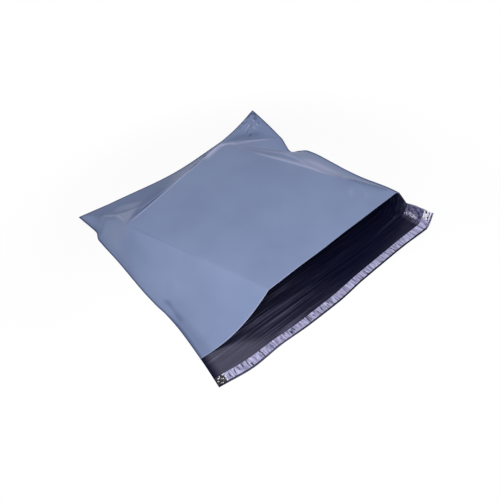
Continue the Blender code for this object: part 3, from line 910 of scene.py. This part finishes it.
def liner_film():
    """Silvery lilac film with dark slashes in clumps, darker in its gathers, scorched and flecked at its
    crushed ends.
    """
    shader = Shader("liner_film")
    slit_colour = on_screen(48, 47, 68)
    gather_colour = on_screen(34, 33, 52)
    mark = shader.mark()
    ribs = shader.noise(scale=1.0, detail=3.0, roughness=0.7, vector=shader.stretched((480, 60, 60)))
    slits = shader.noise(scale=1.0, detail=2.0, roughness=0.6, vector=shader.stretched((300, 50, 50)))
    clumps = shader.noise(scale=42.0, detail=2.0)
    flecks = shader.noise(scale=420.0, detail=2.0, roughness=0.6)
    slit_share = shader.between(slits, 0.0, 1.0, 0.55, 0.60)
    clump_share = shader.between(clumps, 0.0, 1.0, 0.49, 0.56)
    lilac = shader.ramp(ribs, (0.36, on_screen(92, 91, 126)), (0.63, on_screen(186, 185, 220)))
    slit_film = shader.mixed(shader.combined("MULTIPLY", slit_share, clump_share), lilac, slit_colour)
    scorched = shader.ramp(flecks, (0.60, on_screen(8, 8, 16)), (0.64, on_screen(225, 225, 238)))
    speckled = shader.ramp(flecks, (0.42, on_screen(16, 15, 28)), (0.46, on_screen(226, 226, 242)))
    gathered = shader.between(mark, 1.0, 0.0, -0.7, -0.3)
    crushed = shader.between(mark, 0.0, 1.0, 0.2, 0.4)
    burnt = shader.between(mark, 0.0, 1.0, 0.7, 0.9)
    folded = shader.mixed(gathered, slit_film, gather_colour)
    tint = shader.mixed(burnt, shader.mixed(crushed, folded, speckled), scorched)
    fine = shader.bump(ribs, distance=0.0003, strength=0.8)
    return shader.set(Base_Color=tint, Roughness=0.3, Normal=fine, Specular_IOR_Level=0.5)


liner_columns = np.concatenate([
    np.linspace(LINER_ENDS[0], 1, 20, endpoint=False),
    np.linspace(1, 2, 200, endpoint=False),
    np.linspace(2, 3, 420, endpoint=False),
    np.linspace(3, 4, 340, endpoint=False),
    np.linspace(4, LINER_ENDS[1], 21),
])
liner_lines = np.linspace(LINER_MARGIN, LINER_MARGIN + LINER_WIDTH, LINER_LINES)
liner_flat = lip_strip(liner_lines, liner_columns, 0)
along, over_lip = liner_flat[..., 0], liner_flat[..., 1]
pressed = np.clip(2.5 - 2 * np.minimum(liner_columns, 5 - liner_columns), 0, 1)[None, :]
gathers = sum(
    crease(along, over_lip, [(outer_x, GATHER_OUTER_Y), (inner_x, GATHER_INNER_Y)], 1.1, 0.6, 0.35)
    for outer_x, inner_x in GATHERS
)
wrinkles = waves(along, over_lip * 0.25, 21, 4.0, 0.15, 9)
wrinkles *= np.clip(waves(along, over_lip, 22, 40, 0.5) + 0.8, 0.3, 1.6)
standing = LINER_LIFT + np.clip(wrinkles + 0.5 * gathers, DEEPEST_WRINKLE, HIGHEST_WRINKLE)
liner_lift = standing * (1 - pressed) + CRUSHED_LIFT * pressed

# The liner's mark: below zero in a gather, about half at the speckled right end, 1 at the burnt left one
left_end = np.clip((1.08 - liner_columns) * 80, 0, 1)
right_end = 0.55 * np.clip((liner_columns - 3.8) * 12, 0, 1)
liner_marks = np.maximum(left_end, right_end)[None, :] - gathers

liner_low = lip_strip(liner_lines, liner_columns, liner_lift)
liner_high = lip_strip(liner_lines, liner_columns, liner_lift + LINER_THICKNESS)
liner_skin = Skin()
closed_strip(liner_skin, liner_low, liner_high, liner_marks)
liner = liner_skin.build("liner", [liner_film()])
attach(liner, "root")
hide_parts("release_liner")


# Floor
# A plain white sheet under the bag. It shows as white to the camera, and near the bag it takes the bag's
# soft shadow. Its sizes are in metres.

FLOOR_SIZE = 6.0
FLOOR_DROP = 0.0003
PAPER_WHITENESS = 0.94
SHADOW_SHARE = 0.16
SHADOW_REACH = (0.26, 0.42)


def seen_itself(tree):
    """1 where a surface is itself seen, straight, mirrored or through glass, and 0 where it only lights."""
    rays = tree.add("LightPath").outputs
    seen = tree.combined("MAXIMUM", rays["Is Camera Ray"], rays["Is Glossy Ray"])
    return tree.combined("MAXIMUM", seen, rays["Is Transmission Ray"])


def white_floor():
    """White to the camera, with a share of shaded matt paper close to the bag."""
    material = bpy.data.materials.new("white_floor")
    material.use_nodes = True
    tree = Nodes(material.node_tree)
    tree.nodes.remove(tree.nodes["Principled BSDF"])
    place = tree.add("TexCoord").outputs["Object"]
    distance = tree.add("VectorMath", {0: place}, operation="LENGTH").outputs["Value"]
    whiteness = tree.between(distance, 1 - SHADOW_SHARE, 1.0, *SHADOW_REACH)
    share = tree.combined("MULTIPLY", seen_itself(tree), whiteness)
    paper_colour = (PAPER_WHITENESS, PAPER_WHITENESS, PAPER_WHITENESS, 1)
    paper = tree.add("BsdfDiffuse", {"Color": paper_colour}).outputs["BSDF"]
    white = tree.add("Emission").outputs["Emission"]
    mixed = tree.add("MixShader", {"Fac": share, 1: paper, 2: white}).outputs["Shader"]
    tree.feed(tree.nodes["Material Output"].inputs["Surface"], mixed)
    return material


floor_mesh = bpy.data.meshes.new("floor")
reach = FLOOR_SIZE / 2
corner_signs = [(-1, -1), (1, -1), (1, 1), (-1, 1)]
floor_corners = [(right * reach, back * reach, -FLOOR_DROP) for right, back in corner_signs]
floor_mesh.from_pydata(floor_corners, [], [(0, 1, 2, 3)])
floor_mesh.materials.append(white_floor())
floor_piece = bpy.data.objects.new("floor", floor_mesh)
bpy.context.scene.collection.objects.link(floor_piece)


# Studio light
# A white tent all round and one soft box close to the mouth, on the left, so that the light falls off
# towards the closed end. A low, cooler panel at the back right puts the sheen on the slopes that face it.

SURROUND = 0.42

# The two panels: place and size in metres, and power in watts
KEY_PLACE = (-0.36, -0.66, 0.80)
KEY_SIZE = (0.6, 0.6)
KEY_POWER = 10.2
SHEEN_PLACE = (1.5, 0.45, 0.38)
SHEEN_SIZE = (0.9, 0.3)
SHEEN_POWER = 3.3
SHEEN_COLOUR = (0.78, 0.78, 1)


def white_surround():
    """Even light from all round, which shows as plain white where it is itself seen."""
    world = bpy.data.worlds.new("surround")
    bpy.context.scene.world = world
    world.use_nodes = True
    tree = Nodes(world.node_tree)
    background = tree.nodes["Background"].inputs
    tree.feed(background["Color"], (1, 1, 1, 1))
    tree.feed(background["Strength"], tree.between(seen_itself(tree), SURROUND, 1.0))


def soft_panel(name, place, size, power, colour=(1, 1, 1)):
    """A rectangular lamp that faces the bag."""
    lamp = bpy.data.lights.new(name, "AREA")
    lamp.shape = "RECTANGLE"
    lamp.size, lamp.size_y = size
    lamp.energy = power
    lamp.color = colour
    panel = bpy.data.objects.new(name, lamp)
    panel.location = place
    panel.rotation_euler = (-Vector(place)).to_track_quat("-Z", "Y").to_euler()
    bpy.context.scene.collection.objects.link(panel)


white_surround()
soft_panel("key_panel", KEY_PLACE, KEY_SIZE, KEY_POWER)
soft_panel("sheen_panel", SHEEN_PLACE, SHEEN_SIZE, SHEEN_POWER, SHEEN_COLOUR)


# Camera
# It stands in front of the mouth, to the left, and looks down on the bag with its horizon tilted, as in
# the photograph. Sizes are in metres, degrees and the photograph's pixels.

CAMERA_AZIMUTH = -29.53
CAMERA_ELEVATION = 44.46
CAMERA_ROLL = -11.17
CAMERA_DISTANCE = 0.683
NEAREST_SEEN = 0.01
AIM = (-0.0255, 0.0994)
PHOTO_PIXELS = 500
FOCAL_PIXELS = 489.1
SHIFT_PIXELS = 1
SENSOR_WIDTH = 36

angles = (CAMERA_AZIMUTH, CAMERA_ELEVATION, CAMERA_ROLL)
azimuth, elevation, roll = (math.radians(angle) for angle in angles)
backwards = Vector((
    math.sin(azimuth) * math.cos(elevation),
    -math.cos(azimuth) * math.cos(elevation),
    math.sin(elevation),
))
level = Vector((math.cos(azimuth), math.sin(azimuth), 0))
upright = backwards.cross(level)
rightwards = level * math.cos(roll) + upright * math.sin(roll)
upwards = upright * math.cos(roll) - level * math.sin(roll)
aim = Vector((AIM[0] + to_place[0] / 1000, AIM[1] + to_place[1] / 1000, 0))

lens = bpy.data.cameras.new("camera")
lens.sensor_width = SENSOR_WIDTH
lens.lens = FOCAL_PIXELS / PHOTO_PIXELS * SENSOR_WIDTH
lens.shift_x = SHIFT_PIXELS / PHOTO_PIXELS
lens.shift_y = SHIFT_PIXELS / PHOTO_PIXELS
lens.clip_start = NEAREST_SEEN
lens.dof.use_dof = False
camera = bpy.data.objects.new("camera", lens)
turn = Matrix((rightwards, upwards, backwards)).transposed()
camera.matrix_world = Matrix.Translation(aim + backwards * CAMERA_DISTANCE) @ turn.to_4x4()
bpy.context.scene.collection.objects.link(camera)
bpy.context.scene.camera = camera
bpy.context.scene.view_settings.view_transform = "Standard"
